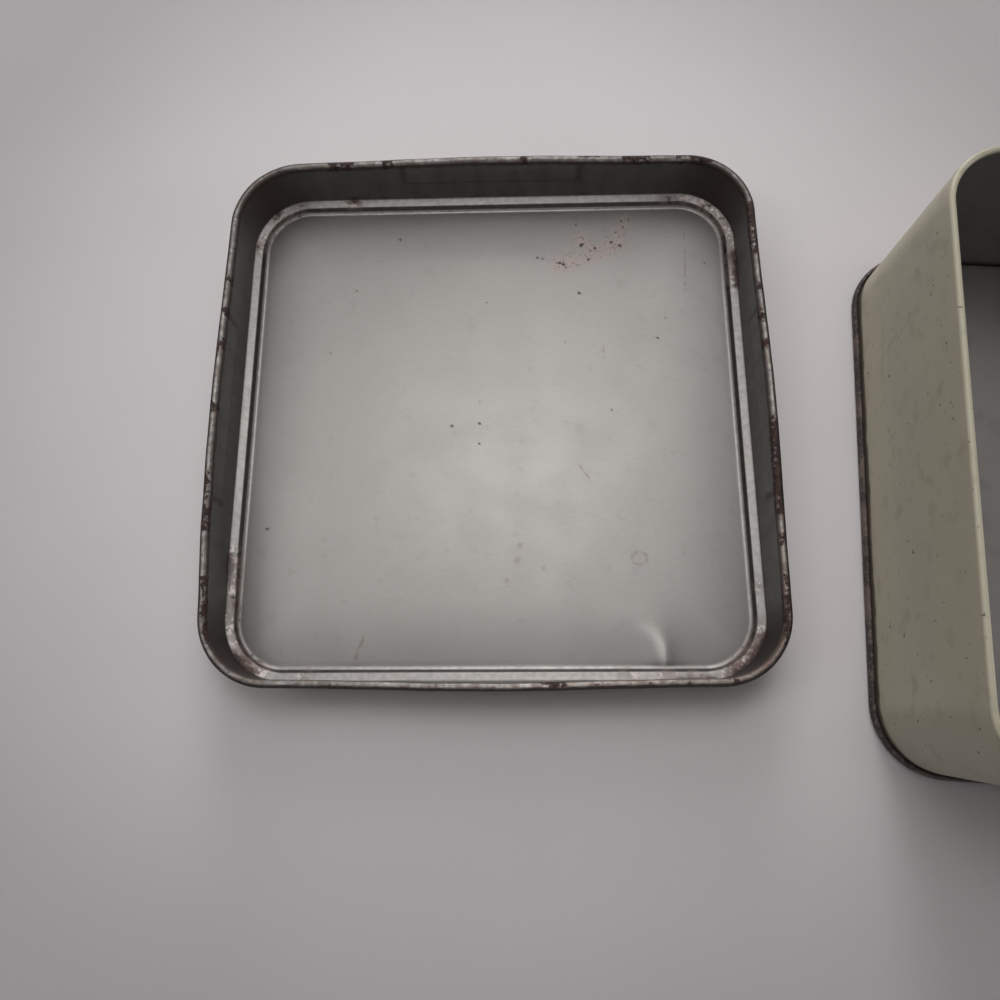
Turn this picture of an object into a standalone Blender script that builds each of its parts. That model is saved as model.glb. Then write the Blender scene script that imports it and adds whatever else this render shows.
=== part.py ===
"""Square cracker tin of pressed tinplate, opened: the lid lies open side up beside the base.

The base is a wall folded into one band, its rim curled inward, and a floor that is seamed
to its foot. The lid is drawn from one sheet: a panel, a step, a ledge, a skirt and a rim
that is curled outward. Metres, +Z up. The origin is on the table, under the middle of the pair.
"""
import math

import bmesh
import bpy
from mathutils import Matrix, Vector

# Sheet metal
SHEET = 0.00028
LAYER_GAP = 0.0003
FOLD_RADIUS = 0.0008

# Base
BODY_WIDTH = 0.1922
BODY_CORNER = 0.0217
BODY_HEIGHT = 0.0700
BODY_CURL = 0.0022
SEAM_HEIGHT = 0.0037
FLOOR_HEIGHT = 0.0031

# Lid
SLIP_CLEARANCE = 0.0004
LID_CURL = 0.00275
SKIRT_DEPTH = 0.0211
SIDE_BOW = 0.0012
LEDGE_WIDTH = 0.0034
STEP_RUN = 0.0020
STEP_DEPTH = 0.0026

# Where the two halves lie on the table
PAIR_GAP = 0.0363
LID_SHIFT = 0.0200
LID_TURN = math.radians(4.2)

# Fineness of the round parts
CORNER_STEPS = 7
SIDE_STEPS = 4
FOLD_STEPS = 3
HEM_STEPS = 5
CURL_STEPS = 9
CURL_SWEEP = 285.0

TINPLATE = {"name": "tinplate", "color": (0.60, 0.61, 0.59, 1.0), "metallic": 1.0, "roughness": 0.36}
CREAM_PAINT = {"name": "cream_paint", "color": (0.52, 0.48, 0.37, 1.0), "metallic": 0.0, "roughness": 0.45}
FLOOR_TIN = {"name": "floor_tinplate", "color": (0.56, 0.57, 0.54, 1.0), "metallic": 1.0, "roughness": 0.40}


def clear_scene():
    for item in list(bpy.data.objects):
        bpy.data.objects.remove(item, do_unlink=True)


def new_collection(name):
    collection = bpy.data.collections.new(name)
    bpy.context.scene.collection.children.link(collection)
    return collection


def make_material(look):
    material = bpy.data.materials.new(look["name"])
    material.use_nodes = True
    shader = material.node_tree.nodes["Principled BSDF"]
    shader.inputs["Base Color"].default_value = look["color"]
    shader.inputs["Metallic"].default_value = look["metallic"]
    shader.inputs["Roughness"].default_value = look["roughness"]
    material.diffuse_color = look["color"]
    return material


def arc(centre, radius, start, end, steps):
    """Points along an arc in the section plane, from start to end degrees."""
    points = []
    for step in range(steps + 1):
        angle = math.radians(start + (end - start) * step / steps)
        points.append((centre[0] + radius * math.cos(angle), centre[1] + radius * math.sin(angle)))
    return points


def folded(corners, radius, steps):
    """A section line through the corners, each inner one rounded to the radius."""
    points = [corners[0]]
    for before, here, after in zip(corners, corners[1:], corners[2:]):
        here = Vector(here)
        back = (Vector(before) - here).normalized()
        ahead = (Vector(after) - here).normalized()
        half_angle = back.angle(ahead) / 2
        reach = radius / math.tan(half_angle)
        centre = here + (back + ahead).normalized() * (radius / math.sin(half_angle))
        first = here + back * reach - centre
        last = here + ahead * reach - centre
        turn = first.angle_signed(last)
        for step in range(steps + 1):
            spoke = Matrix.Rotation(-turn * step / steps, 2) @ first
            points.append(tuple(centre + spoke))
    points.append(corners[-1])
    return points


def outline(half, corner, bow):
    """Points round a square with round corners, its sides arched outward by bow."""
    straight = half - corner
    quarter = []
    for step in range(CORNER_STEPS + 1):
        angle = math.pi / 2 * step / CORNER_STEPS
        quarter.append(Vector((straight + corner * math.cos(angle), straight + corner * math.sin(angle))))
    for step in range(1, SIDE_STEPS):
        share = 1 - 2 * step / SIDE_STEPS
        quarter.append(Vector((straight * share, half + bow * (1 - share * share))))
    points = []
    for side in range(4):
        turn = Matrix.Rotation(math.pi / 2 * side, 2)
        points.extend(turn @ point for point in quarter)
    return points


def pressed_sheet(name, section, half, corner, filled, bow_at=None):
    """A sheet swept round the square outline, one ring for each point of its section.

    A section point is (offset, height): how far it lies outside the outline, and its height.
    """
    mesh_data = bmesh.new()
    ring_point = mesh_data.verts.layers.int.new("ring_point")

    def ring_places(offset, height):
        bow = bow_at(height) if bow_at else 0.0
        return [(*point, height) for point in outline(half + offset, corner + offset, bow)]

    first = []
    for index, place in enumerate(ring_places(*section[0])):
        vert = mesh_data.verts.new(place)
        vert[ring_point] = index
        first.append(vert)
    edges = [mesh_data.edges.new((a, b)) for a, b in zip(first, first[1:] + first[:1])]
    if filled:
        mesh_data.faces.new(first)
    for offset, height in section[1:]:
        places = ring_places(offset, height)
        grown = bmesh.ops.extrude_edge_only(mesh_data, edges=edges)["geom"]
        fresh = {item for item in grown if isinstance(item, bmesh.types.BMVert)}
        for vert in fresh:
            vert.co = places[vert[ring_point]]
        edges = [item for item in grown if isinstance(item, bmesh.types.BMEdge) and set(item.verts) <= fresh]
    bmesh.ops.recalc_face_normals(mesh_data, faces=mesh_data.faces)
    mesh = bpy.data.meshes.new(name)
    mesh_data.to_mesh(mesh)
    mesh_data.free()
    return mesh


def make_part(name, mesh, look, collection, parent):
    """An object of sheet metal: the mesh is the middle of the sheet, and Solidify thickens it."""
    part = bpy.data.objects.new(name, mesh)
    collection.objects.link(part)
    part.parent = parent
    part.data.materials.append(make_material(look))
    part.data.shade_smooth()
    thickness = part.modifiers.new("sheet", "SOLIDIFY")
    thickness.thickness = SHEET
    thickness.offset = 0.0
    thickness.use_even_offset = True
    thickness.use_quality_normals = True
    return part


def make_anchor(name, collection):
    anchor = bpy.data.objects.new(name, None)
    anchor.empty_display_size = 0.01
    collection.objects.link(anchor)
    return anchor


def seam_places():
    """Offsets, from the wall's outer face, and heights that the wall's foot and the floor share.

    From inside out the seam is: chuck wall, body wall, cover hook, body hook, seaming wall.
    Each layer is one sheet thick, with a gap between it and the next.
    """
    pitch = SHEET + LAYER_GAP
    centre = LAYER_GAP + SHEET / 2
    return {
        "pitch": pitch,
        "bend_centre": centre,
        "chuck": centre - 2 * pitch,
        "body_wall": centre - pitch,
        "cover_hook": centre,
        "body_hook": centre + pitch,
        "seaming_wall": centre + 2 * pitch,
        "bend_height": 2 * pitch + SHEET / 2,
        "top_height": SEAM_HEIGHT - pitch - SHEET / 2,
    }


def seam_reach():
    """How far the seam stands out from the wall's outer face."""
    return seam_places()["seaming_wall"] + SHEET / 2


def body_wall_section():
    """From the hook in the foot seam, round its bend, up the wall and round the curled rim."""
    seam = seam_places()
    rim_radius = (BODY_CURL - SHEET) / 2
    rim_centre = (seam["body_wall"] - rim_radius, BODY_HEIGHT - BODY_CURL / 2)
    bend_centre = (seam["bend_centre"], seam["bend_height"])
    section = [(seam["body_hook"], seam["top_height"])]
    section += arc(bend_centre, seam["pitch"], 0, -180, HEM_STEPS)
    section += arc(rim_centre, rim_radius, 0, CURL_SWEEP, CURL_STEPS)
    return section


def bottom_section():
    """From the flat floor down its chuck wall, under and up the seam, and into the cover hook."""
    seam = seam_places()
    floor_level = FLOOR_HEIGHT + SHEET / 2
    corners = [
        (seam["chuck"] - 3 * FOLD_RADIUS, floor_level),
        (seam["chuck"], floor_level),
        (seam["chuck"], seam["bend_height"]),
    ]
    section = folded(corners, FOLD_RADIUS, FOLD_STEPS)[:-1]
    section += arc((seam["bend_centre"], seam["bend_height"]), 2 * seam["pitch"], 180, 360, 2 * HEM_STEPS)
    section += arc((seam["body_hook"], seam["top_height"]), seam["pitch"], 0, 180, HEM_STEPS)
    section.append((seam["cover_hook"], seam["bend_height"]))
    return section


def lid_levels():
    """Heights in the lid as it lies on its panel, open side up."""
    panel = SHEET / 2
    ledge = panel + STEP_DEPTH
    rim_top = ledge + SHEET / 2 + SKIRT_DEPTH
    return {"panel": panel, "ledge": ledge, "rim_centre": rim_top - LID_CURL / 2}


def lid_section():
    """From the flat panel up the step, over the ledge, up the skirt and round the curled rim.

    Offsets are from the skirt's inner face.
    """
    level = lid_levels()
    skirt = SHEET / 2
    curl_radius = (LID_CURL - SHEET) / 2
    corners = [
        (-LEDGE_WIDTH - STEP_RUN - 2 * FOLD_RADIUS, level["panel"]),
        (-LEDGE_WIDTH - STEP_RUN, level["panel"]),
        (-LEDGE_WIDTH, level["ledge"]),
        (skirt, level["ledge"]),
        (skirt, level["rim_centre"]),
    ]
    section = folded(corners, FOLD_RADIUS, FOLD_STEPS)[:-1]
    section += arc((skirt + curl_radius, level["rim_centre"]), curl_radius, 180, 180 - CURL_SWEEP, CURL_STEPS)
    return section


def lid_bow(height):
    """The skirt's sides arch outward, from nothing at the ledge to the full bow at the rim."""
    level = lid_levels()
    share = (height - level["ledge"]) / (level["rim_centre"] - level["ledge"])
    return SIDE_BOW * max(0.0, share)


def lid_half():
    """Half the width between the skirt's inner faces."""
    return BODY_WIDTH / 2 + SLIP_CLEARANCE


def lid_reach():
    """Half the lid's width over its curled rim, at the middle of a side."""
    return lid_half() + LID_CURL + SIDE_BOW


def build_base(collection):
    anchor = make_anchor("base_place", collection)
    half = BODY_WIDTH / 2
    wall = pressed_sheet("base_wall", body_wall_section(), half, BODY_CORNER, filled=False)
    floor = pressed_sheet("base_floor", bottom_section(), half, BODY_CORNER, filled=True)
    make_part("base_wall", wall, CREAM_PAINT, collection, anchor)
    make_part("base_floor", floor, FLOOR_TIN, collection, anchor)
    return anchor


def build_lid(collection):
    anchor = make_anchor("lid_place", collection)
    corner = BODY_CORNER + SLIP_CLEARANCE
    sheet = pressed_sheet("lid", lid_section(), lid_half(), corner, filled=True, bow_at=lid_bow)
    make_part("lid", sheet, TINPLATE, collection, anchor)
    base_reach = BODY_WIDTH / 2 + seam_reach()
    anchor.location = (-(base_reach + PAIR_GAP + lid_reach()), LID_SHIFT, 0.0)
    anchor.rotation_euler.z = LID_TURN
    return anchor


def centre_on_origin(collection, anchors):
    """Move both halves so that the origin is under the middle of the box round them."""
    bpy.context.view_layer.update()
    depsgraph = bpy.context.evaluated_depsgraph_get()
    points = []
    for item in collection.objects:
        if item.type == "MESH":
            seen = item.evaluated_get(depsgraph)
            points.extend(item.matrix_world @ vert.co for vert in seen.data.vertices)
    low = Vector([min(point[axis] for point in points) for axis in range(3)])
    high = Vector([max(point[axis] for point in points) for axis in range(3)])
    shift = Vector(((low.x + high.x) / 2, (low.y + high.y) / 2, low.z))
    for anchor in anchors:
        anchor.location -= shift
    bpy.context.view_layer.update()


def main():
    clear_scene()
    tin = new_collection("cracker_tin")
    centre_on_origin(tin, [build_base(tin), build_lid(tin)])


main()
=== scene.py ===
"""Looks of the opened cracker tin: its lid lies open side up, and its base stands beside it.

Metres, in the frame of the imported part. Each sheet is modelled again with finer folds, rolled rims,
dents and wear, in the frame of its own half: x to the right, y to the back, z up from the table.
"""
import functools
import math

import bpy
from mathutils import Matrix, Vector, noise


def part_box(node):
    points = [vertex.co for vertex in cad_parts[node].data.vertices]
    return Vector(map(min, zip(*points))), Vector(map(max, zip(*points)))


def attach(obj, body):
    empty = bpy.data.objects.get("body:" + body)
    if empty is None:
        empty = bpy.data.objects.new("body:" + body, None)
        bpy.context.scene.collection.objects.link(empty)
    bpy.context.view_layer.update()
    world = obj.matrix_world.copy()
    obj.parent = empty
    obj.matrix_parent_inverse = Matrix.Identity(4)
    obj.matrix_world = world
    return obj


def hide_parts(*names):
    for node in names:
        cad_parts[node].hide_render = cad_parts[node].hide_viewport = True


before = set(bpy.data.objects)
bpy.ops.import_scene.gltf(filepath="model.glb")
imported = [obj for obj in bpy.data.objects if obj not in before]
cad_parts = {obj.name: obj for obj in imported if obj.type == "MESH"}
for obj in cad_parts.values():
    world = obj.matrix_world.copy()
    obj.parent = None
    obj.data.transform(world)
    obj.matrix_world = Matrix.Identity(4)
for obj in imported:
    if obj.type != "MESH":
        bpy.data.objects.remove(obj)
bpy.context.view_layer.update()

MM = 0.001

# Sheet metal, as in the solids
SHEET = 0.28 * MM
LAYER_GAP = 0.3 * MM
FOLD_RADIUS = 0.8 * MM

# Base
BODY_WIDTH = 192.2 * MM
BODY_CORNER = 21.7 * MM
BODY_HEIGHT = 70.0 * MM
BODY_CURL = 2.2 * MM
SEAM_HEIGHT = 3.7 * MM
FLOOR_HEIGHT = 3.1 * MM

# Lid
SLIP_CLEARANCE = 0.4 * MM
LID_CURL = 2.75 * MM
SKIRT_DEPTH = 21.1 * MM
SIDE_BOW = 1.2 * MM
LEDGE_WIDTH = 3.4 * MM
STEP_RUN = 2.0 * MM
STEP_DEPTH = 2.6 * MM
LID_TURN = math.radians(4.2)

# Grip pads pressed into the upper half of the lid's skirt
PAD_HALF_WIDTH = 36.0 * MM
PAD_DEPTH = 0.35 * MM
PAD_END = 2.5 * MM
PAD_END_SPREAD = 3.5 * MM
PAD_FOOT = 1.2 * MM
PAD_TOP_GAP = 1.0 * MM
PAD_TOP_FADE = 2.5 * MM

# Finer shape of the lid's step and ledge: a steep riser from a round foot, and a ledge that rises outward
SHOULDER = 2.8 * MM
STEP_SLOPE = 1.7 * MM
STEP_FOOT_RADIUS = 1.7 * MM
LEDGE_RISE = 1.0 * MM
LEDGE_END_RADIUS = 0.5 * MM

# Dents and warps. A knock has its place, how far it shifts the rim there, and its reach
RIM_WANDER = 0.25 * MM
RIM_WAVE = 14.0 * MM
CORNER_KNOCKS = [
    (Vector((-96.0, -88.0)) * MM, Vector((1.3, 0.0)) * MM, 44.0 * MM),
    (Vector((-90.0, 90.0)) * MM, Vector((0.6, -0.5)) * MM, 28.0 * MM),
]
KNOCK_CORE = 0.2
KNOCK_AT_LEDGE = 0.5
PANEL_WARP = 0.20 * MM
PANEL_WAVE = 55.0 * MM
DENT_PLACE = Vector((49.0, -86.5)) * MM
DENT_RADIUS = 12.0 * MM
CREASE_TURN = math.radians(130)
CREASE_RISE = 0.8 * MM
CREASE_WIDTH = 3.4 * MM
CREASE_END_SPREAD = 1.6
CREASE_BLUR = 4.5 * MM
FAINT_CREASE = (Vector((-49.5, -92.0)) * MM, Vector((-45.0, -74.0)) * MM)
FAINT_CREASE_RISE = 0.3 * MM
FAINT_CREASE_WIDTH = 1.8 * MM
RELIEF_REACH = 4.0 * MM
FLOOR_WARP = 0.15 * MM
SIDE_SEAM_HALF_WIDTH = 3.0 * MM
SIDE_SEAM_FLANK = 2.0 * MM
SIDE_SEAM_END = 1.0 * MM
SIDE_SEAM_TOP_GAP = 2.0 * MM
SIDE_SEAM_RISE = 0.3 * MM

# Fineness
SIDE_CELLS = 40
CORNER_CELLS = 14
HALF_CELLS = SIDE_CELLS + CORNER_CELLS
FOLD_STEPS = 5
HEM_STEPS = 8
CURL_STEPS = 20
CURL_SWEEP = 285.0
SKIRT_CELL = 1.6 * MM
WALL_CELL = 6.0 * MM

# How far past a bend a new look of the lid begins, and where the painted shade of the riser begins and ends
STEP_LOOK_RISE = 0.02 * MM
RISER_SHADE_RISE = 0.45 * MM
RISER_SHADE_END = 0.1 * MM
WALL_LOOK_GAP = 0.05 * MM


def smooth(value, low, high):
    """Nought at low and one at high, smooth between; low may be the larger."""
    share = min(1.0, max(0.0, (value - low) / (high - low)))
    return share * share * (3 - 2 * share)


def middle_of(node):
    low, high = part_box(node)
    return Vector(((low.x + high.x) / 2, (low.y + high.y) / 2, 0.0))


LID_FRAME = Matrix.Translation(middle_of("lid")) @ Matrix.Rotation(LID_TURN, 4, "Z")
BASE_FRAME = Matrix.Translation(middle_of("base_wall"))


# Section lines: points (offset, height) from the middle of a sheet outward
def arc(centre, radius, start, end, steps):
    """Points along an arc in the section plane, from start to end degrees."""
    points = []
    for step in range(steps + 1):
        angle = math.radians(start + (end - start) * step / steps)
        points.append((centre[0] + radius * math.cos(angle), centre[1] + radius * math.sin(angle)))
    return points


def folded(corners, radii, steps):
    """A section line through the corners, each inner one rounded to its radius."""
    points = [corners[0]]
    for before, here, after, radius in zip(corners, corners[1:], corners[2:], radii):
        here = Vector(here)
        back = (Vector(before) - here).normalized()
        ahead = (Vector(after) - here).normalized()
        half_angle = back.angle(ahead) / 2
        reach = radius / math.tan(half_angle)
        centre = here + (back + ahead).normalized() * (radius / math.sin(half_angle))
        first = here + back * reach - centre
        last = here + ahead * reach - centre
        turn = first.angle_signed(last)
        for step in range(steps + 1):
            spoke = Matrix.Rotation(-turn * step / steps, 2) @ first
            points.append(tuple(centre + spoke))
    points.append(corners[-1])
    return points


def divided(section, longest):
    """The section line with its long straight runs cut into equal stretches."""
    points = [section[0]]
    for before, after in zip(section, section[1:]):
        pieces = max(1, math.ceil(math.dist(before, after) / longest))
        for piece in range(1, pieces + 1):
            points.append(tuple(Vector(before).lerp(Vector(after), piece / pieces)))
    return points


def lengths_along(section):
    """How far each point of a section lies along it, from its first point, in metres."""
    along = [0.0]
    for before, after in zip(section, section[1:]):
        along.append(along[-1] + math.dist(before, after))
    return along


# The rounded square, side by side: the back one first, then clockwise seen from above
def side_point(cell, half, corner, bow=0.0):
    """A point of the back side, its place counted in cells from the side's middle."""
    straight = half - corner
    way = abs(cell)
    if way <= SIDE_CELLS:
        share = way / SIDE_CELLS
        across = straight * share
        out = half + bow * (1 + math.cos(math.pi * share)) / 2
    else:
        angle = math.pi / 4 * (way - SIDE_CELLS) / CORNER_CELLS
        across = straight + corner * math.sin(angle)
        out = straight + corner * math.cos(angle)
    return Vector((math.copysign(across, cell), out))


def turned(point, side):
    """A point of the back side, carried round to another side."""
    x, y = point
    for _ in range(side):
        x, y = y, -x
    return Vector((x, y))


def panel_point(column, row, half, corner):
    """A point of a panel's grid: square at the middle, bent to the round outline at the edge."""
    reach = max(abs(column), abs(row))
    if reach == 0:
        return Vector((0.0, 0.0))
    if row == reach:
        side, cell = 0, column
    elif column == reach:
        side, cell = 1, -row
    elif row == -reach:
        side, cell = 2, -column
    else:
        side, cell = 3, row
    share = reach / HALF_CELLS
    plain = Vector((cell, reach)) * (half / HALF_CELLS)
    bent = side_point(cell * HALF_CELLS / reach, half, corner) * share
    return turned(plain.lerp(bent, share * share), side)


def ring_cells():
    """Side and cell of each point round a ring."""
    return [(side, cell) for side in range(4) for cell in range(-HALF_CELLS, HALF_CELLS)]


def grid_edge():
    """Column and row of each grid point at the panel's edge, in the order of a ring's points."""
    edge = []
    for side, cell in ring_cells():
        column, row = turned((cell, HALF_CELLS), side)
        edge.append((round(column), round(row)))
    return edge


def pressed_sheet(name, section, half, corner, relief=None, bow_at=None, press=None, knock=None, zones=()):
    """A sheet swept round the rounded square, one ring for each point of its section.

    With a relief, a function of x and y that gives the panel's rise, the inside of the first ring
    is closed by a grid, and the rise fades over the first rings. A press moves a ring point outward,
    by its side, cell, offset and height, and a knock shifts it, by its place and height.
    Each point keeps how far it lies along the section, in millimetres, and each length in zones
    starts a zone with its own look.
    """
    places, faces, along_values, looks = [], [], [], []
    along = lengths_along(section)
    first_half, first_corner = half + section[0][0], corner + section[0][0]
    ring = []
    if relief:
        index = {}
        for row in range(-HALF_CELLS, HALF_CELLS + 1):
            for column in range(-HALF_CELLS, HALF_CELLS + 1):
                point = panel_point(column, row, first_half, first_corner)
                index[column, row] = len(places)
                places.append((point.x, point.y, section[0][1] + relief(point.x, point.y)))
                along_values.append(0.0)
        for row in range(-HALF_CELLS, HALF_CELLS):
            for column in range(-HALF_CELLS, HALF_CELLS):
                faces.append((index[column, row], index[column + 1, row],
                              index[column + 1, row + 1], index[column, row + 1]))
        looks = [0] * len(faces)
        ring = [index[edge] for edge in grid_edge()]
    for step, (offset, height) in enumerate(section):
        if step == 0 and relief:
            continue
        bow = bow_at(height) if bow_at else 0.0
        fade = smooth(along[step], RELIEF_REACH, 0.0) if relief else 0.0
        fresh = []
        for side, cell in ring_cells():
            point = side_point(cell, half + offset, corner + offset, bow)
            if press:
                point.y += press(side, cell, offset, height)
            point = turned(point, side)
            if knock:
                point += knock(point, height)
            rise = fade * relief(point.x, point.y) if fade else 0.0
            fresh.append(len(places))
            places.append((point.x, point.y, height + rise))
            along_values.append(along[step] / MM)
        if ring:
            middle = (along[step - 1] + along[step]) / 2 / MM
            count = len(ring)
            looks += [sum(middle > start for start in zones)] * count
            for here in range(count):
                after = (here + 1) % count
                faces.append((ring[here], ring[after], fresh[after], fresh[here]))
        ring = fresh
    mesh = bpy.data.meshes.new(name)
    mesh.from_pydata(places, [], faces)
    mesh.polygons.foreach_set("material_index", looks)
    mesh.shade_smooth()
    stored = mesh.attributes.new("along", "FLOAT", "POINT")
    stored.data.foreach_set("value", along_values)
    return mesh


def make_sheet(name, mesh, fronts, backs, place, body, node):
    """An object of sheet metal: Solidify gives the thickness, and the backs' looks to the far face."""
    piece = bpy.data.objects.new(name, mesh)
    bpy.context.scene.collection.objects.link(piece)
    piece.matrix_world = place
    for look in fronts + backs:
        mesh.materials.append(look)
    sheet = piece.modifiers.new("sheet", "SOLIDIFY")
    sheet.thickness = SHEET
    sheet.offset = 0.0
    sheet.use_even_offset = True
    sheet.use_quality_normals = True
    sheet.material_offset = len(backs)
    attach(piece, body)
    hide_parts(node)


# Lid
def lid_levels():
    """Heights in the lid as it lies on its panel."""
    panel = SHEET / 2
    ledge = panel + STEP_DEPTH
    rim_top = ledge + SHEET / 2 + SKIRT_DEPTH
    return {"panel": panel, "ledge": ledge, "rim_centre": rim_top - LID_CURL / 2}


def lid_half():
    return BODY_WIDTH / 2 + SLIP_CLEARANCE


def lid_section():
    """From the flat panel up the step, over the ledge, up the skirt and round the curled rim."""
    level = lid_levels()
    skirt = SHEET / 2
    curl_radius = (LID_CURL - SHEET) / 2
    corners = [
        (-LEDGE_WIDTH - STEP_RUN - 2 * FOLD_RADIUS, level["panel"]),
        (-SHOULDER - STEP_SLOPE, level["panel"]),
        (-SHOULDER, level["ledge"] - LEDGE_RISE / 2),
        (skirt, level["ledge"] + LEDGE_RISE / 2),
        (skirt, level["rim_centre"]),
    ]
    radii = (STEP_FOOT_RADIUS, FOLD_RADIUS, LEDGE_END_RADIUS)
    section = divided(folded(corners, radii, FOLD_STEPS), SKIRT_CELL)[:-1]
    curl_centre = (skirt + curl_radius, level["rim_centre"])
    section += arc(curl_centre, curl_radius, 180, 180 - CURL_SWEEP, CURL_STEPS)
    return section


def start_of(section, reached):
    """How far along a section, in millimetres, its first point lies for which reached is true."""
    for length, point in zip(lengths_along(section), section):
        if reached(point):
            return length / MM
    raise ValueError("the section has no such point")


def riser_ends():
    """Where, along the lid's section, the steep riser of its step begins and ends, for its painted shade.
    """
    section = lid_section()
    level = lid_levels()
    riser_low = level["panel"] + RISER_SHADE_RISE
    riser_high = level["ledge"] - LEDGE_RISE / 2 - RISER_SHADE_END
    return (start_of(section, lambda point: point[1] > riser_low),
            start_of(section, lambda point: point[1] > riser_high))


def lid_zones():
    """Where, along the lid's section, the step with its ledge, the wall and the rim begin."""
    section = lid_section()
    step_start = start_of(section, lambda point: point[1] > lid_levels()["panel"] + STEP_LOOK_RISE)
    wall_start = start_of(section, lambda point: point[0] > SHEET / 2 - WALL_LOOK_GAP)
    return step_start, wall_start, lengths_along(section)[-CURL_STEPS - 1] / MM


def lid_bow(height):
    level = lid_levels()
    share = (height - level["ledge"]) / (level["rim_centre"] - level["ledge"])
    return SIDE_BOW * max(0.0, share)


def pad_press(cell, height):
    """The grip pads: the skirt's upper half is pressed inward between two slanted ends."""
    level = lid_levels()
    pad_low = (level["ledge"] + level["rim_centre"]) / 2
    climb = (height - pad_low) / (level["rim_centre"] - pad_low)
    if climb <= 0 or abs(cell) > SIDE_CELLS:
        return 0.0
    across = (lid_half() - BODY_CORNER) * abs(cell) / SIDE_CELLS
    end = PAD_END + PAD_END_SPREAD * min(1.0, climb)
    sideways = smooth(across, PAD_HALF_WIDTH, PAD_HALF_WIDTH - end)
    upright = smooth(height, pad_low, pad_low + PAD_FOOT)
    pad_top = level["rim_centre"] - PAD_TOP_GAP
    below_rim = smooth(height, pad_top, pad_top - PAD_TOP_FADE)
    return -PAD_DEPTH * upright * sideways * below_rim


def skirt_press(side, cell, offset, height):
    """The pads, and a rim knocked slightly inward here and there."""
    level = lid_levels()
    across = cell * (lid_half() - BODY_CORNER) / SIDE_CELLS
    wander = 0.5 + 0.5 * noise.noise(Vector((across / RIM_WAVE, 9.0 * side, 0.0)))
    sideways = smooth(abs(cell), HALF_CELLS, SIDE_CELLS - 4)
    upright = smooth(height, level["ledge"], level["rim_centre"])
    return pad_press(cell, height) - RIM_WANDER * wander * sideways * upright


def lid_knock(point, height):
    """Two corners of the lid are knocked slightly inward, the rim most and the ledge by half."""
    level = lid_levels()
    up_step = smooth(height, level["panel"], level["ledge"])
    up_skirt = smooth(height, level["ledge"], level["rim_centre"])
    share = KNOCK_AT_LEDGE * up_step + (1.0 - KNOCK_AT_LEDGE) * up_skirt
    shift = Vector((0.0, 0.0))
    for place, full_shift, reach in CORNER_KNOCKS:
        shift += full_shift * smooth((point - place).length, reach, KNOCK_CORE * reach)
    return shift * share


def lid_relief(x, y):
    """Slight warps of the panel, all upward, a crease that bends in from the front, and a faint one."""
    here = Vector((x, y))
    warp = PANEL_WARP * (0.5 + 0.5 * noise.noise(Vector((x, y, 0.0)) / PANEL_WAVE))
    spoke = here - DENT_PLACE
    spoke.y = max(0.0, spoke.y)
    strength = 1.0 - min(1.0, math.atan2(spoke.y, spoke.x) / CREASE_TURN)
    away = math.hypot(spoke.length - DENT_RADIUS, CREASE_BLUR * (1.0 - strength))
    width = CREASE_WIDTH * (strength + CREASE_END_SPREAD * (1.0 - strength))
    crease = CREASE_RISE * strength * math.exp(-away / width)
    start, end = FAINT_CREASE
    aside = abs((here - start).cross((end - start).normalized()))
    faint = FAINT_CREASE_RISE * smooth(y, end.y, start.y) * math.exp(-aside / FAINT_CREASE_WIDTH)
    return warp + crease + faint


# Base
def seam_places():
    """Offsets, from the wall's outer face, and heights of the layers of the foot seam."""
    pitch = SHEET + LAYER_GAP
    centre = LAYER_GAP + SHEET / 2
    return {
        "pitch": pitch,
        "bend_centre": centre,
        "chuck": centre - 2 * pitch,
        "body_wall": centre - pitch,
        "cover_hook": centre,
        "body_hook": centre + pitch,
        "bend_height": 2 * pitch + SHEET / 2,
        "top_height": SEAM_HEIGHT - pitch - SHEET / 2,
    }


def body_wall_section():
    """From the hook in the foot seam, round its bend, up the wall and round the curled rim."""
    seam = seam_places()
    rim_radius = (BODY_CURL - SHEET) / 2
    rim_centre = (seam["body_wall"] - rim_radius, BODY_HEIGHT - BODY_CURL / 2)
    bend_centre = (seam["bend_centre"], seam["bend_height"])
    section = [(seam["body_hook"], seam["top_height"])]
    section += arc(bend_centre, seam["pitch"], 0, -180, HEM_STEPS)
    section += arc(rim_centre, rim_radius, 0, CURL_SWEEP, CURL_STEPS)
    return divided(section, WALL_CELL)


def bottom_section():
    """From the flat floor down its chuck wall, under and up the seam, and into the cover hook."""
    seam = seam_places()
    floor_level = FLOOR_HEIGHT + SHEET / 2
    corners = [
        (seam["chuck"] - 3 * FOLD_RADIUS, floor_level),
        (seam["chuck"], floor_level),
        (seam["chuck"], seam["bend_height"]),
    ]
    section = folded(corners, (FOLD_RADIUS,), FOLD_STEPS)[:-1]
    section += arc((seam["bend_centre"], seam["bend_height"]), 2 * seam["pitch"], 180, 360, 2 * HEM_STEPS)
    section += arc((seam["body_hook"], seam["top_height"]), seam["pitch"], 0, 180, HEM_STEPS)
    section.append((seam["cover_hook"], seam["bend_height"]))
    return section


def side_seam_press(side, cell, offset, height):
    """The wall's side seam: a flat lapped strip down the middle of the back."""
    across = abs(cell) * (BODY_WIDTH / 2 - BODY_CORNER) / SIDE_CELLS
    if side != 0 or offset < -SHEET:
        return 0.0
    strip_top = BODY_HEIGHT - SIDE_SEAM_TOP_GAP
    upright = (smooth(height, SEAM_HEIGHT, SEAM_HEIGHT + SIDE_SEAM_END)
               * smooth(height, strip_top, strip_top - SIDE_SEAM_END))
    sideways = smooth(across, SIDE_SEAM_HALF_WIDTH + SIDE_SEAM_FLANK, SIDE_SEAM_HALF_WIDTH)
    return SIDE_SEAM_RISE * upright * sideways


def floor_relief(x, y):
    return FLOOR_WARP * noise.noise(Vector((x, y, 9.0)) / PANEL_WAVE)


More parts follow.
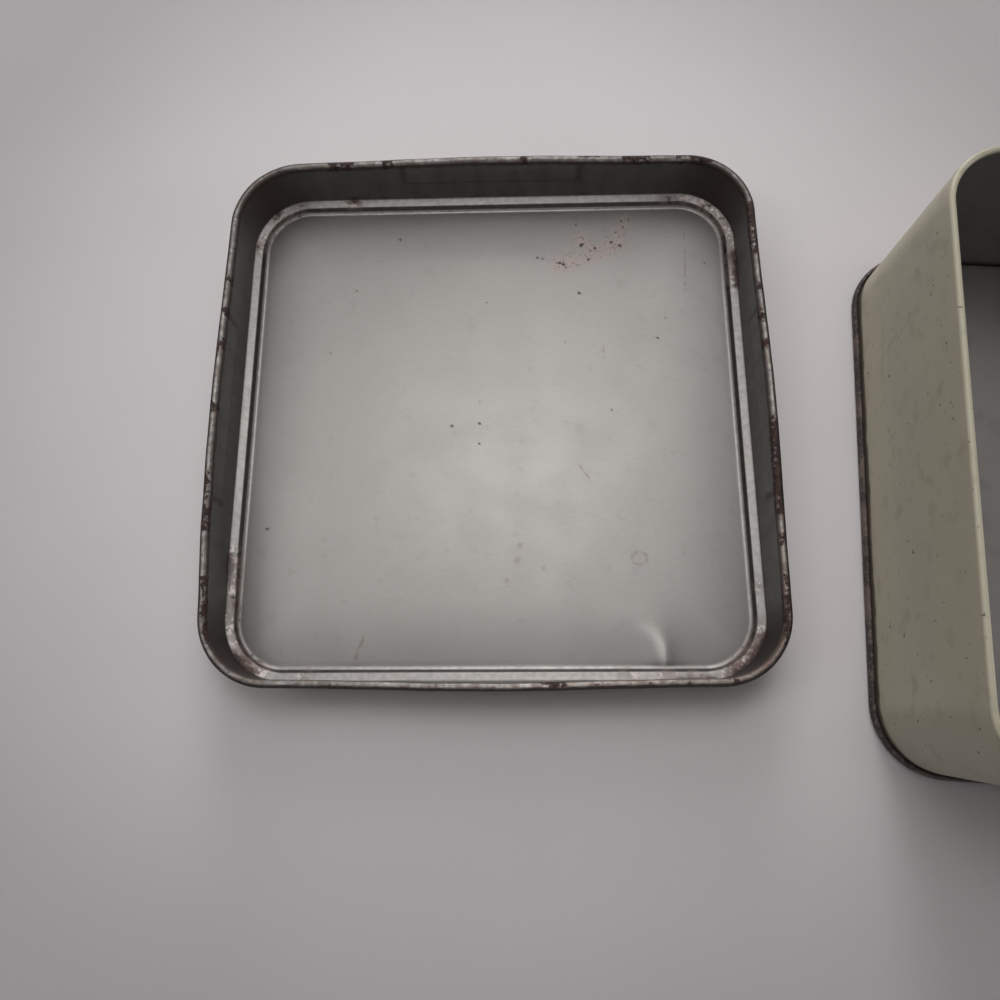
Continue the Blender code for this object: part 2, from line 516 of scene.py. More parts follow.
# Looks
class Look:
    """A procedural material. Each call adds nodes and gives an output; lengths are in millimetres."""

    def __init__(self, name, colour, metallic, roughness):
        self.material = bpy.data.materials.new(name)
        self.material.use_nodes = True
        self.nodes = self.material.node_tree.nodes
        self.links = self.material.node_tree.links
        metres = self.nodes.new("ShaderNodeTexCoord").outputs["Object"]
        self.place = self.vector("SCALE", metres, scale=1 / MM)
        apart = self.nodes.new("ShaderNodeSeparateXYZ")
        self.links.new(self.place, apart.inputs[0])
        self.x, self.y, self.height = apart.outputs
        self.plan = self.vector("MULTIPLY", self.place, (1.0, 1.0, 0.0))
        stored = self.nodes.new("ShaderNodeAttribute")
        stored.attribute_name = "along"
        self.along = stored.outputs["Fac"]
        self.colour, self.metallic, self.roughness = colour, metallic, roughness

    def feed(self, socket, value):
        if isinstance(value, bpy.types.NodeSocket):
            self.links.new(value, socket)
        elif socket.type == "RGBA":
            socket.default_value = (*value, 1.0)
        else:
            socket.default_value = value

    def calc(self, operation, *values):
        node = self.nodes.new("ShaderNodeMath")
        node.operation = operation
        for socket, value in zip(node.inputs, values):
            self.feed(socket, value)
        return node.outputs["Value"]

    def product(self, *values):
        return functools.reduce(lambda before, value: self.calc("MULTIPLY", before, value), values)

    def highest(self, *values):
        return functools.reduce(lambda before, value: self.calc("MAXIMUM", before, value), values)

    def away_from(self, value, middle):
        return self.calc("ABSOLUTE", self.calc("SUBTRACT", value, middle))

    def vector(self, operation, *values, scale=None):
        node = self.nodes.new("ShaderNodeVectorMath")
        node.operation = operation
        for socket, value in zip(node.inputs, values):
            self.feed(socket, value)
        if scale is not None:
            self.feed(node.inputs["Scale"], scale)
        gives_number = operation in ("DISTANCE", "DOT_PRODUCT")
        return node.outputs["Value" if gives_number else "Vector"]

    def step(self, value, low, high):
        """Nought at low and one at high, smooth between; low may be the larger."""
        node = self.nodes.new("ShaderNodeMapRange")
        node.interpolation_type = "SMOOTHSTEP"
        self.feed(node.inputs["Value"], value)
        node.inputs["From Min"].default_value = low
        node.inputs["From Max"].default_value = high
        return node.outputs["Result"]

    def noise(self, lump, detail=2.0, stretch=(1.0, 1.0, 1.0), shift=0.0):
        """Cloudy noise around one half, with lumps of the given size."""
        node = self.nodes.new("ShaderNodeTexNoise")
        node.inputs["Scale"].default_value = 1 / lump
        node.inputs["Detail"].default_value = detail
        place = self.vector("MULTIPLY_ADD", self.place, stretch, (shift, shift, shift))
        self.links.new(place, node.inputs["Vector"])
        return node.outputs["Fac"]

    def around(self, middle, noise, spread):
        """The middle value, varied by the noise."""
        return self.calc("MULTIPLY_ADD", noise, 2 * spread, middle - spread)

    def lessened(self, where, share):
        """A factor of one that falls by a share where the field is one."""
        return self.calc("MULTIPLY_ADD", where, -share, 1.0)

    def corners(self, low, high):
        """One at the four corners of the half, where x times y is large."""
        return self.step(self.product(self.away_from(self.x, 0.0), self.away_from(self.y, 0.0)), low, high)

    def shade(self, *factors):
        self.colour = self.vector("MULTIPLY", self.colour, self.product(*factors))

    def mixed(self, kind, share, first, second):
        node = self.nodes.new("ShaderNodeMix")
        node.data_type = kind
        of_kind = [socket for socket in node.inputs if socket.enabled]
        for socket, value in zip(of_kind, (share, first, second)):
            self.feed(socket, value)
        return next(socket for socket in node.outputs if socket.enabled)

    def coat(self, share, colour, metallic=0.0, roughness=0.8):
        """Covers what there is so far, by a share from nought to one."""
        self.colour = self.mixed("RGBA", share, self.colour, colour)
        if self.metallic != metallic:
            self.metallic = self.mixed("FLOAT", share, self.metallic, metallic)
        if self.roughness != roughness:
            self.roughness = self.mixed("FLOAT", share, self.roughness, roughness)

    def from_line(self, start, end):
        """How far a point of the plan is from a line between two points."""
        run = Vector(end) - Vector(start)
        if run.length == 0:
            return self.vector("DISTANCE", self.plan, (*start, 0.0))
        lead = self.vector("SUBTRACT", self.plan, (*start, 0.0))
        share = self.vector("DOT_PRODUCT", lead, (*(run / run.length_squared), 0.0))
        share = self.calc("MINIMUM", self.calc("MAXIMUM", share, 0.0), 1.0)
        return self.vector("DISTANCE", lead, self.vector("SCALE", (*run, 0.0), scale=share))

    def when_seen(self):
        """One for what the camera sees, straight or in metal, and nought for what lights a surface."""
        path = self.nodes.new("ShaderNodeLightPath").outputs
        return self.highest(path["Is Camera Ray"], path["Is Glossy Ray"], path["Is Transmission Ray"])

    def outside(self, marks):
        """How far a point of the plan is outside the nearest of the marks, each a line with a radius."""
        gaps = [self.calc("SUBTRACT", self.from_line(start, end), radius) for start, end, radius in marks]
        return functools.reduce(lambda before, gap: self.calc("MINIMUM", before, gap), gaps)

    def finished(self, relief=None, depth=0.0):
        """The material, with an optional fine relief of the given depth."""
        shader = self.nodes["Principled BSDF"]
        self.feed(shader.inputs["Base Color"], self.colour)
        self.feed(shader.inputs["Metallic"], self.metallic)
        self.feed(shader.inputs["Roughness"], self.roughness)
        if relief is not None:
            bump = self.nodes.new("ShaderNodeBump")
            bump.inputs["Distance"].default_value = depth * MM
            self.links.new(relief, bump.inputs["Height"])
            self.links.new(bump.outputs["Normal"], shader.inputs["Normal"])
        return self.material


TIN = (0.228, 0.218, 0.207)
LEDGE_TIN = (0.238, 0.228, 0.218)
WALL_TIN = (0.172, 0.167, 0.158)
RIM_TIN = (0.185, 0.174, 0.162)
CREAM = (0.400, 0.366, 0.274)
CREAM_GRIME = (0.214, 0.175, 0.118)
# Black for deep rust, and for painted shade on the rim's outer flank and at the lid's front wall corners
RUST_AND_SHADE_BLACK = (0.013, 0.008, 0.007)
RUST_DARK = (0.034, 0.018, 0.015)
RUST_RED = (0.058, 0.024, 0.018)
RUST_BROWN = (0.095, 0.054, 0.041)
RUST_PALE = (0.245, 0.190, 0.172)
SEAM_BROWN = (0.104, 0.074, 0.062)
TAN_FILM = (0.205, 0.162, 0.136)
HAZE = (0.275, 0.218, 0.198)
WORN = (0.560, 0.490, 0.460)
# Colour of the painted highlight on the crease
CREASE_HIGHLIGHT = (0.500, 0.480, 0.458)
PALE_FLOOR = (0.630, 0.597, 0.602)
BACKDROP = (0.420, 0.405, 0.408)
WORLD_LIGHT = (0.095, 0.095, 0.099)


def dot(x, y, radius):
    return (x, y), (x, y), radius


# The darkest parts of the base's foot seam, from the base's middle, in millimetres
SEAM_DARK = [
    ((-98, 88), (-98, 70), 2), dot(-98, 21, 3), ((-98, -62), (-98, -82), 2), ((60, 98), (90, 98), 4),
    dot(98, -30, 6), ((-20, -98), (10, -98), 3),
]

# Wear of the lid, as in the photograph: lines and dots with a radius, from the lid's middle, in millimetres
RIM_RUST = [
    ((-62, 98), (-54, 98), 0.5), dot(-40, 98.5, 0.6), dot(13, 99, 0.6), ((35, 99.5), (40, 99.5), 0.5),
    ((52, 98.5), (60, 98.5), 0.7), dot(73, 98.5, 0.8), ((78, 98), (83, 96.5), 0.8),
    ((97.5, 75), (99, 58), 1.1), dot(99, 42, 0.6), dot(98, 31, 0.4), dot(98, 19.5, 0.7),
    ((99, -10), (99, -42), 1.1), dot(99, -51, 0.8), ((98.5, -62), (96, -86), -0.3),
    dot(-97, 49, 0.6), dot(-97.5, 36, 0.6), dot(-98, 23, 0.6), dot(-99, -1, 0.8),
    ((-99, -28), (-98, -46), 0), ((-97, -63), (-94, -84), -0.4), dot(-52, -98, -0.6), dot(-28, -99, -0.8),
    ((17, -98), (24, -98), -0.3), dot(36, -99, -0.4), dot(52, -98.5, -0.4), dot(64, -98.5, -0.6),
    dot(78, -98, 0),
]
LEDGE_WEAR = [
    ((-95, -52), (-94, -75), 2), ((-94, -75), (-83, -92), 2), dot(-66, -94.5, 0), dot(47.5, -94.5, 0.5),
    dot(60.5, -94.5, 0.5), dot(70, -95, 0), ((82, -94), (94, -78.5), 1.5), dot(95, -64, 0),
    ((71, 95), (78, 95), 1), ((86, 91), (93, 83), 2), ((93, 83), (95.5, 56), 1.5),
    ((-79, 94), (-95, 75), 1), dot(-88.5, 88, 2), dot(-57, 95, 1),
]
FOOT_RUST = [
    ((96.5, 67), (96.5, 56), 1.5), ((86, -91.5), (94.5, -85), 3), ((-97, -53), (-97, -60), 0.5),
    ((-90, -89), (-86, -91.5), 1.5), dot(-88, 90, 0), dot(-57, 96, 0.5), ((66, -97), (76, -96.5), 0),
]
PANEL_RUST = [
    dot(18, 70, 0.5), dot(20, 69.5, 0.3), dot(27, 67.5, 0.5), dot(28.5, 67, 0.5), dot(29.5, 65.5, 0.3),
    dot(36, 75.5, 0.7), dot(41.5, 74, 0.5), dot(38.5, 69, 0.5), dot(48, 76.5, 0.6), dot(51.5, 75, 0.5),
    dot(53, 83.5, 0.4), dot(52.5, 86, 0.3), dot(34, 85, 0.3), dot(36, 80, 0.2), dot(46, 79, 0.2),
    dot(50, 81, 0.3), dot(55.5, 87, 0.3),
]
PANEL_HAZE = [((27, 67), (50, 75), 3.0), ((50, 75), (53.5, 87), 1.5), dot(36, 78, 3)]
PANEL_DOTS = [
    dot(-5, 8.5, 0.35), dot(-5, -0.5, 0.35), dot(-5, -8.5, 0.3), dot(-15.5, -1.5, 0.35), dot(-84, -41, 0.5),
    dot(-38, 79.5, 0.4), dot(-55, 56.5, 0.4), dot(34.5, 54, 0.4), dot(28.5, 33, 0.3), dot(-2.5, 50.5, 0.2),
    dot(64.5, 34, 0.3), dot(85, 66.5, 0.4), dot(45.5, 4.5, 0.3), dot(68, 42.5, 0.2), dot(-64, 29.5, 0.2),
]
SCRATCHES = [
    ((77.5, 72), (76.5, 54), 0.0), ((77.5, 84.5), (77.5, 77.5), 0.0), ((43.5, 33.5), (43, 21.5), 0.0),
    ((33, -18), (36, -22.5), 0.2), ((18.5, 73.5), (21, 71), 0.0), ((-49, -89.5), (-46, -80.5), 0.3),
]
STAINS = [dot(5, -61, 0.8), dot(9, -53.5, 0.9), dot(10, -48, 0.7), dot(18.5, -57, 0.6)]
RING_PLACE = (53.5, -53, 0.0)
RING_RADIUS = 2.5
RUSTY_FOOT = 6.0


def tin(name, colour, roughness=0.42):
    """Dull rolled tinplate: broad cloudy patches under a long faint grain."""
    look = Look(name, colour, 0.8, roughness)
    clouds = look.around(1.0, look.noise(38.0, detail=3.0), 0.07)
    grain = look.around(1.0, look.noise(0.8, detail=2.0, stretch=(0.15, 1.0, 0.3), shift=3.0), 0.05)
    look.shade(clouds, grain)
    look.roughness = look.around(roughness, look.noise(14.0, detail=3.0, shift=41.0), 0.05)
    return look


def rust(look, field, deep=RUST_DARK, pale=RUST_BROWN):
    """Speckled rust: none where the field is nought, a third covered at one half, all at one."""
    ragged = look.noise(1.9, detail=6.0, shift=5.0)
    covered = look.step(look.calc("ADD", ragged, field), 1.00, 1.24)
    tone = look.step(look.noise(1.3, detail=4.0, shift=7.0), 0.38, 0.62)
    look.coat(covered, look.mixed("RGBA", tone, deep, pale))
    return covered


def panel_look():
    """The lid's panel: a haze with rust spots at the back right, dark dots, scratches, faint stains and a
    painted highlight along the crease.
    """
    look = tin("tin_panel", TIN)
    # The panel is made up to 22 % darker towards its edges, from 66 mm out to 91 mm from its middle.
    edge = look.step(look.highest(look.away_from(look.x, 0.0), look.away_from(look.y, 0.0)), 66.0, 91.0)
    flecks = look.noise(0.5, detail=2.0, shift=11.0)
    smudges = look.step(look.noise(6.0, detail=6.0, shift=71.0), 0.60, 0.72)
    look.shade(look.around(1.0, flecks, 0.11), look.lessened(smudges, 0.07), look.lessened(edge, 0.22))
    hazy = look.step(look.outside(PANEL_HAZE), 4.0, -2.0)
    haze = look.product(hazy, look.step(look.noise(3.0, detail=4.0, shift=5.0), 0.3, 0.65), 0.7)
    look.coat(haze, HAZE, metallic=0.8, roughness=0.45)
    specks = look.product(look.step(look.outside(PANEL_HAZE), 2.5, -1.5),
                          look.step(look.noise(0.9, detail=3.0, shift=15.0), 0.56, 0.66), 0.75)
    look.coat(specks, RUST_BROWN, metallic=0.3, roughness=0.6)
    broken = look.step(look.noise(2.5, detail=4.0, shift=13.0), 0.40, 0.60)
    scratched = look.product(look.step(look.outside(SCRATCHES), 0.5, 0.1), broken)
    ring_wobble = look.around(0.0, look.noise(1.8, detail=3.0, shift=81.0), 0.9)
    ring_reach = look.calc("ADD", look.vector("DISTANCE", look.plan, RING_PLACE), ring_wobble)
    ring = look.step(look.away_from(ring_reach, RING_RADIUS), 0.8, 0.1)
    uneven = look.around(0.0, look.noise(1.5, detail=4.0, shift=73.0), 1.5)
    stained = look.step(look.calc("ADD", look.outside(STAINS), uneven), 0.8, -0.4)
    faint = look.highest(look.product(scratched, 0.40), look.product(ring, broken, 0.32),
                         look.product(stained, 0.28))
    look.coat(faint, RUST_BROWN, metallic=0.6, roughness=0.5)
    wobble = look.around(0.0, look.noise(0.9, detail=3.0, shift=17.0), 0.9)
    dots = look.calc("MINIMUM", look.outside(PANEL_DOTS), look.outside(PANEL_RUST))
    look.coat(look.product(look.step(look.calc("ADD", dots, wobble), 0.4, -0.3), 0.85), RUST_DARK)
    # A painted highlight on the crease: a bright band on the inner side of its arc, near its foot at the
    # front.
    spoke = look.vector("SUBTRACT", look.plan, (*(DENT_PLACE / MM), 0.0))
    spoke = look.vector("MAXIMUM", spoke, (-99.0, 0.0, 0.0))
    inside = look.calc("SUBTRACT", DENT_RADIUS / MM, look.vector("DISTANCE", spoke, (0.0, 0.0, 0.0)))
    width = look.calc("MULTIPLY_ADD", look.y, 0.3, 29.5)
    blur = look.calc("MULTIPLY_ADD", look.step(look.y, -87.0, -75.0), 5.0, 0.7)
    crease_highlight = look.product(look.step(look.calc("DIVIDE", inside, width), 1.3, 0.2),
                            look.step(look.calc("DIVIDE", inside, blur), -0.5, 0.6),
                            look.step(look.x, 47.0, 59.0), look.step(look.y, -71.0, -79.0))
    look.coat(look.product(crease_highlight, 0.36), CREASE_HIGHLIGHT, metallic=0.8, roughness=0.42)
    return look.finished()


def ledge_look(wall_start):
    """The lid's step and ledge: worn bright in places, brown in others, with a dirty line by the wall, and
    painted shade on the step's riser.
    """
    look = tin("tin_ledge", LEDGE_TIN)
    riser_start, riser_end = riser_ends()
    # The steep riser is painted 82 % darker: painted shade.
    riser = look.product(look.step(look.along, riser_start, riser_start + 0.5),
                         look.step(look.along, riser_end + 0.3, riser_end - 0.2))
    worn = look.step(look.outside(LEDGE_WEAR), 5.0, -0.5)
    look.shade(look.around(1.0, look.noise(2.0, detail=5.0, shift=27.0), 0.40),
               look.lessened(riser, 0.82), look.lessened(worn, 0.25))
    reddish = look.step(look.noise(4.0, detail=5.0, shift=9.0), 0.3, 0.6)
    look.coat(look.product(look.highest(worn, 0.12), reddish, 0.45), RUST_PALE, metallic=0.5, roughness=0.6)
    rust(look, look.product(worn, 0.50), deep=RUST_DARK, pale=RUST_BROWN)
    flat_part = look.step(look.along, riser_end - 0.3, riser_end + 0.5)
    specks = look.product(look.step(look.noise(1.5, detail=2.0, shift=19.0), 0.46, 0.64),
                          look.step(look.noise(6.0, detail=2.0, shift=83.0), 0.38, 0.58))
    look.coat(look.product(worn, flat_part, specks, 0.75), WORN, metallic=0.5, roughness=0.45)
    foot = look.step(look.along, wall_start - 2.6, wall_start - 0.4)
    line = look.step(look.along, wall_start - 0.9, wall_start)
    stain = look.step(look.outside(FOOT_RUST), 4.0, -1.0)
    brown = look.step(look.noise(2.5, detail=5.0, shift=87.0), 0.38, 0.54)
    by_corner = look.step(look.away_from(look.y, 0.0), 61.0, 67.0)
    patch = look.product(stain, flat_part, brown, by_corner, 0.85)
    look.coat(patch, RUST_BROWN, metallic=0.4, roughness=0.6)
    dirt = look.highest(look.product(stain, foot, 0.85), look.product(line, 0.4))
    look.coat(dirt, RUST_DARK, metallic=0.2)
    rust(look, look.product(stain, foot, 0.7), deep=RUST_AND_SHADE_BLACK, pale=RUST_BROWN)
    return look.finished()


def wall_look(wall_start, rim_start):
    """Inside of the lid's skirt: tarnished dark, brown at its foot, rusty at its corners, with stains at
    the pads' ends; painted shade blackens the front corners and lines the pads' lower edge.
    """
    look = tin("tin_wall", WALL_TIN, roughness=0.42)
    look.shade(look.around(1.0, look.noise(5.0, detail=5.0, stretch=(1.0, 1.0, 0.35), shift=47.0), 0.35))
    corner = look.corners(6500.0, 8200.0)
    look.coat(look.product(corner, 0.85), RUST_DARK, metallic=0.3, roughness=0.6)
    # At the front corners the rusty wall is covered blacker still: rust and painted shade.
    front_corner_rust_and_shade = look.product(corner, look.step(look.y, -40.0, -75.0), 0.8)
    look.coat(front_corner_rust_and_shade, RUST_AND_SHADE_BLACK, metallic=0.4, roughness=0.7)
    level = lid_levels()
    middle = (level["ledge"] + level["rim_centre"]) / 2 / MM
    climb = look.step(look.height, middle, level["rim_centre"] / MM)
    across = look.calc("MINIMUM", look.away_from(look.x, 0.0), look.away_from(look.y, 0.0))
    smear = look.around(0.0, look.noise(3.0, detail=5.0, shift=49.0), 1.5)
    beside = look.calc("ADD", look.away_from(across, PAD_HALF_WIDTH / MM - 1.5), smear)
    mark = look.product(look.step(beside, 2.2, 0.0), look.step(look.height, middle - 0.8, middle + 0.8),
                        look.calc("MULTIPLY_ADD", climb, 0.2, 0.5))
    # A thin dark line at mid-height across the pads, along their lower edge: painted shade.
    line = look.product(look.step(look.away_from(look.height, middle), 0.9, 0.1),
                        look.step(across, 37.0, 35.0), 0.35)
    look.coat(look.highest(mark, line), RUST_DARK, metallic=0.4, roughness=0.6)
    foot = look.step(look.along, wall_start + 3.0, wall_start + 0.2)
    patches = look.step(look.noise(7.0, detail=4.0, shift=31.0), 0.4, 0.62)
    stain = look.step(look.outside(FOOT_RUST), 5.0, -1.0)
    uneven = look.calc("MULTIPLY_ADD", look.noise(4.0, detail=4.0, shift=43.0), 2.4, look.along)
    edge = look.step(uneven, rim_start - 0.6, rim_start + 0.6)
    dirt = look.highest(look.product(edge, 0.8), look.product(stain, foot, 0.8),
                        look.product(foot, patches, 0.3))
    look.coat(dirt, RUST_DARK, metallic=0.3, roughness=0.6)
    below_rim = look.product(look.step(look.along, rim_start - 4.0, rim_start),
                             look.step(look.outside(RIM_RUST), 4.5, 0.5), 0.8)
    rust(look, look.highest(look.product(stain, foot, 0.6), below_rim), deep=RUST_AND_SHADE_BLACK, pale=RUST_DARK)
    return look.finished()


def rim_look(rim_start):
    """The rolled rim: grey and mottled on top, reddish within, painted dark on its outer flank as painted
    shade, rusty in places.
    """
    rim_length = math.radians(CURL_SWEEP) * (LID_CURL - SHEET) / 2 / MM
    look = tin("tin_rim", RIM_TIN, roughness=0.42)
    # The rim is made 40 % darker at its corners, where its reddish inner band also reaches further.
    corner = look.corners(7000.0, 8000.0)
    look.shade(look.around(1.0, look.noise(1.8, detail=6.0, shift=27.0), 0.9),
               look.around(1.0, look.noise(9.0, detail=3.0, shift=29.0), 0.5), look.lessened(corner, 0.4))
    wavy = look.calc("MULTIPLY_ADD", look.noise(5.0, detail=4.0, shift=33.0), 1.0, look.along)
    # The curl's outer flank, covered near black further down as painted shade
    outer = look.step(wavy, rim_start + 0.33 * rim_length + 0.5, rim_start + 0.42 * rim_length + 0.5)
    deeper = look.calc("MULTIPLY_ADD", corner, -0.10 * rim_length, wavy)
    inner = look.step(deeper, rim_start + 0.16 * rim_length + 0.5, rim_start + 0.03 * rim_length + 0.5)
    look.coat(look.product(inner, 0.75), RUST_DARK, metallic=0.3, roughness=0.6)
    browner = look.step(look.calc("SUBTRACT", look.x, look.y), 80.0, 150.0)
    look.coat(look.product(browner, 0.35), TAN_FILM, metallic=0.7, roughness=0.42)
    film = look.product(look.step(look.noise(3.5, detail=4.0, shift=63.0), 0.44, 0.62),
                        look.calc("MULTIPLY_ADD", browner, 0.20, 0.42))
    look.coat(film, RUST_BROWN, metallic=0.5, roughness=0.5)
    marked = look.calc("MULTIPLY_ADD", look.noise(1.7, detail=6.0, shift=23.0), 8.0, look.outside(RIM_RUST))
    tone = look.step(look.noise(1.2, detail=4.0, shift=7.0), 0.35, 0.65)
    mark_colour = look.mixed("RGBA", tone, RUST_AND_SHADE_BLACK, RUST_RED)
    look.coat(look.product(look.step(marked, 5.6, 4.4), 0.95), mark_colour, metallic=0.5)
    specks = look.step(look.noise(0.9, detail=4.0, shift=25.0), 0.60, 0.68)
    look.coat(look.product(specks, 0.6), RUST_DARK)
    # Painted shade: the outer flank is covered near black.
    look.coat(look.product(outer, 0.93), RUST_AND_SHADE_BLACK, metallic=0.3, roughness=0.6)
    return look.finished(specks, 0.03)


def inside_base_look(name, heavy_from):
    """Bare tinplate of the base: stained inside, thickly rusted from one place along the section on."""
    look = tin(name, TIN)
    look.coat(look.product(look.step(look.noise(16.0, detail=4.0, shift=13.0), 0.5, 0.75), 0.3),
              RUST_BROWN, metallic=0.6, roughness=0.5)
    heavy = look.step(look.along, heavy_from - 1.0, heavy_from + 0.5)
    light = look.product(look.step(look.noise(22.0, detail=4.0, shift=29.0), 0.6, 0.72), 0.6)
    covered = rust(look, light)
    patches = look.calc("ADD", look.noise(12.0, detail=5.0, shift=57.0),
                        look.product(look.step(look.outside(SEAM_DARK), 9.0, 0.0), 0.25))
    fine = look.around(0.0, look.noise(1.3, detail=4.0, shift=7.0), 0.9)
    tone = look.calc("ADD", look.step(patches, 0.66, 0.42), fine)
    tone = look.calc("MAXIMUM", look.calc("MINIMUM", tone, 1.0), 0.0)
    look.coat(look.product(heavy, 0.95), look.mixed("RGBA", tone, RUST_AND_SHADE_BLACK, SEAM_BROWN))
    crumbs = look.step(look.noise(1.3, detail=3.0, shift=91.0), 0.52, 0.64)
    look.coat(look.product(heavy, crumbs, 0.35), RUST_PALE)
    return look.finished(covered, 0.05)


def cream_look(name, foot=0.0):
    """Old cream enamel with brownish clouds and chips; up to the foot's height it is stained by rust."""
    look = Look(name, CREAM, 0.0, 0.42)
    clouds = look.noise(24.0, detail=4.0, shift=2.0)
    look.shade(look.around(1.0, clouds, 0.08), look.around(1.0, look.noise(0.9, shift=6.0), 0.03))
    look.coat(look.product(look.step(look.noise(7.0, detail=6.0, shift=17.0), 0.52, 0.75), 0.35),
              CREAM_GRIME, roughness=0.6)
    if foot:
        ragged = look.calc("MULTIPLY_ADD", look.noise(9.0, detail=4.0, shift=37.0), -3.0, look.height)
        look.coat(look.product(look.step(ragged, foot - 1.0, foot - 3.0), 0.90), RUST_DARK)
    look.coat(look.product(look.step(look.noise(2.2, detail=3.0, shift=53.0), 0.70, 0.73), 0.8), RUST_BROWN)
    return look.finished(look.noise(1.6, detail=2.0, shift=61.0), 0.05)


def paper_look(name):
    """The plain pale floor, darkened away from the lid by a painted falloff of light, which turns into an
    even backdrop away from the object.
    """
    look = Look(name, PALE_FLOOR, 0.0, 0.85)
    # Painted falloff of light: the floor is up to 30 % darker from 120 to 265 mm away from a point beside
    # the lid.
    outer = look.step(look.vector("DISTANCE", look.plan, (-110.0, 25.0, 0.0)), 120.0, 265.0)
    look.shade(look.around(1.0, look.noise(60.0, detail=3.0), 0.03),
               look.around(1.0, look.noise(1.2, detail=3.0), 0.03), look.lessened(outer, 0.30))
    far = look.product(look.step(look.vector("DISTANCE", look.plan, (-50.0, 10.0, 0.0)), 300.0, 500.0),
                       look.when_seen())
    look.coat(far, (0.0, 0.0, 0.0), roughness=1.0)
    material = look.finished()
    shader = look.nodes["Principled BSDF"]
    shader.inputs["Specular IOR Level"].default_value = 0.0
    look.feed(shader.inputs["Emission Color"], BACKDROP)
    look.feed(shader.inputs["Emission Strength"], far)
    return material


# Pieces
lid_starts = lid_zones()
_, lid_wall_start, lid_rim_start = lid_starts
lid_mesh = pressed_sheet("lid_sheet", lid_section(), lid_half(), BODY_CORNER + SLIP_CLEARANCE,
                         relief=lid_relief, bow_at=lid_bow, press=skirt_press, knock=lid_knock,
                         zones=lid_starts)
lid_fronts = [
    panel_look(),
    ledge_look(lid_wall_start),
    wall_look(lid_wall_start, lid_rim_start),
    rim_look(lid_rim_start),
]
lid_back = cream_look("cream_enamel_lid")
make_sheet("lid_sheet", lid_mesh, lid_fronts, [lid_back] * 4, LID_FRAME, "lid", "lid")

wall_section = body_wall_section()
wall_mesh = pressed_sheet("base_wall_sheet", wall_section, BODY_WIDTH / 2, BODY_CORNER,
                          press=side_seam_press)
wall_front = inside_base_look("tin_inside_base", lengths_along(wall_section)[-CURL_STEPS - 1] / MM)
wall_back = cream_look("cream_enamel_base", RUSTY_FOOT)
make_sheet("base_wall_sheet", wall_mesh, [wall_front], [wall_back], BASE_FRAME,
           "base", "base_wall")

floor_section = bottom_section()
chuck_start = start_of(floor_section, lambda point: point[1] < FLOOR_HEIGHT - FOLD_RADIUS)
floor_mesh = pressed_sheet("base_floor_sheet", floor_section, BODY_WIDTH / 2, BODY_CORNER,
                           relief=floor_relief)
floor_front = inside_base_look("tin_base_floor", chuck_start)
make_sheet("base_floor_sheet", floor_mesh, [floor_front], [], BASE_FRAME,
           "base", "base_floor")

# Stage
FLOOR_SIZE = 12.0
FLOOR_DROP = 0.1 * MM

bpy.ops.mesh.primitive_plane_add(size=FLOOR_SIZE, location=(0, 0, -FLOOR_DROP))
floor = bpy.context.object
floor.name = "paper_floor"
floor.data.materials.append(paper_look("pale_floor"))

world = bpy.data.worlds.new("studio")
bpy.context.scene.world = world
world.use_nodes = True
world_nodes, world_links = world.node_tree.nodes, world.node_tree.links
path = world_nodes.new("ShaderNodeLightPath").outputs
seen = path["Is Camera Ray"]
for other_ray in ("Is Glossy Ray", "Is Transmission Ray"):
    either = world_nodes.new("ShaderNodeMath")
    either.operation = "MAXIMUM"
    world_links.new(seen, either.inputs[0])
    world_links.new(path[other_ray], either.inputs[1])
    seen = either.outputs[0]
shown = world_nodes.new("ShaderNodeMix")
shown.data_type = "RGBA"
of_kind = [socket for socket in shown.inputs if socket.enabled]
world_links.new(seen, of_kind[0])
of_kind[1].default_value = (*WORLD_LIGHT, 1)
of_kind[2].default_value = (*BACKDROP, 1)
world_links.new(next(socket for socket in shown.outputs if socket.enabled),
                world_nodes["Background"].inputs["Color"])

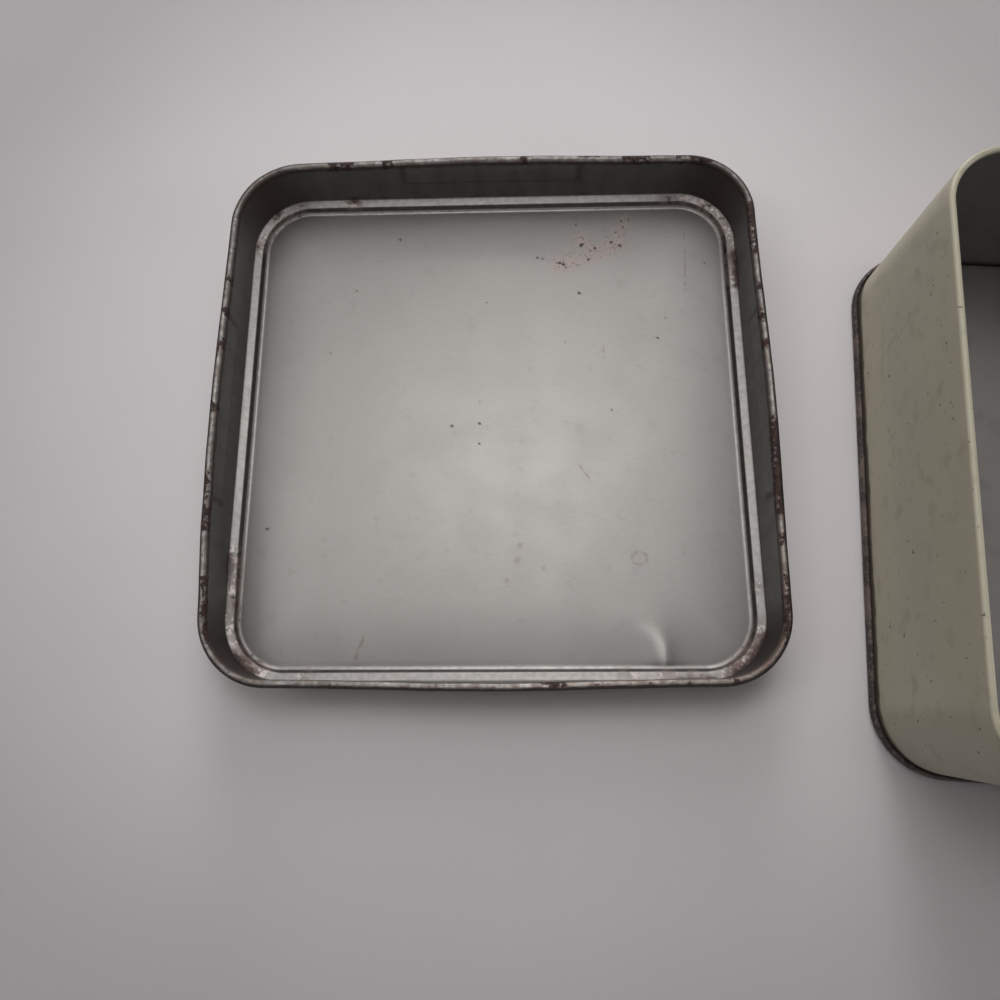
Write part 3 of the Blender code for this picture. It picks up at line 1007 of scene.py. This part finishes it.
# Lamps round the lid: degrees down from straight above, degrees clockwise from the back, metres away, watts
LAMP_SPREAD = 0.325
LAMPS = [
    ("over", 12, 0, 0.8, 1.00),
    ("over_right", 12, 90, 0.8, 0.27),
    ("over_back", 24, 0, 0.8, 0.31),
    ("over_back_right", 24, 30, 0.8, 0.30),
    ("over_left", 24, 300, 0.8, 0.36),
    ("back_right", 38, 30, 0.8, 0.26),
    ("back_left", 38, 330, 0.8, 0.22),
    ("left", 38, 270, 0.8, 0.78),
    ("back", 58, 0, 1.6, 5.40),
    ("low_back", 76, 0, 2.4, 18.0),
    ("low_right", 75, 95, 2.4, 9.0),
    ("low_front", 80, 165, 2.4, 3.0),
]


def dome_lamp(name, down, round_turn, distance, power):
    """A soft square lamp, facing the lid."""
    lamp = bpy.data.lights.new(name, "AREA")
    lamp.shape = "SQUARE"
    lamp.size = LAMP_SPREAD * distance
    lamp.energy = power
    item = bpy.data.objects.new(name, lamp)
    bpy.context.scene.collection.objects.link(item)
    aim = Matrix.Rotation(-math.radians(round_turn), 4, "Z") @ Matrix.Rotation(-math.radians(down), 4, "X")
    item.matrix_world = LID_FRAME @ aim @ Matrix.Translation((0, 0, distance))
    item.visible_camera = False


for lamp_values in LAMPS:
    dome_lamp(*lamp_values)

# Camera, as found from the lid's edges in the photograph. Its place and turn are in the lid's frame
CAMERA_PLACE = Vector((0.01099, -0.10229, 0.28009))
CAMERA_YAW = 0.1148
CAMERA_PITCH = 0.2517
CAMERA_ROLL = -0.1205
CAMERA_LENS = 27.9

camera_data = bpy.data.cameras.new("camera")
camera_data.sensor_width = 36.0
camera_data.lens = CAMERA_LENS
camera_data.clip_start = 0.01
camera_data.clip_end = 50.0
camera = bpy.data.objects.new("camera", camera_data)
bpy.context.scene.collection.objects.link(camera)
turn = (Matrix.Rotation(CAMERA_YAW, 4, "Z") @ Matrix.Rotation(CAMERA_PITCH, 4, "X")
        @ Matrix.Rotation(CAMERA_ROLL, 4, "Z"))
camera.matrix_world = LID_FRAME @ Matrix.Translation(CAMERA_PLACE) @ turn
bpy.context.scene.camera = camera
bpy.context.scene.view_settings.view_transform = "Standard"
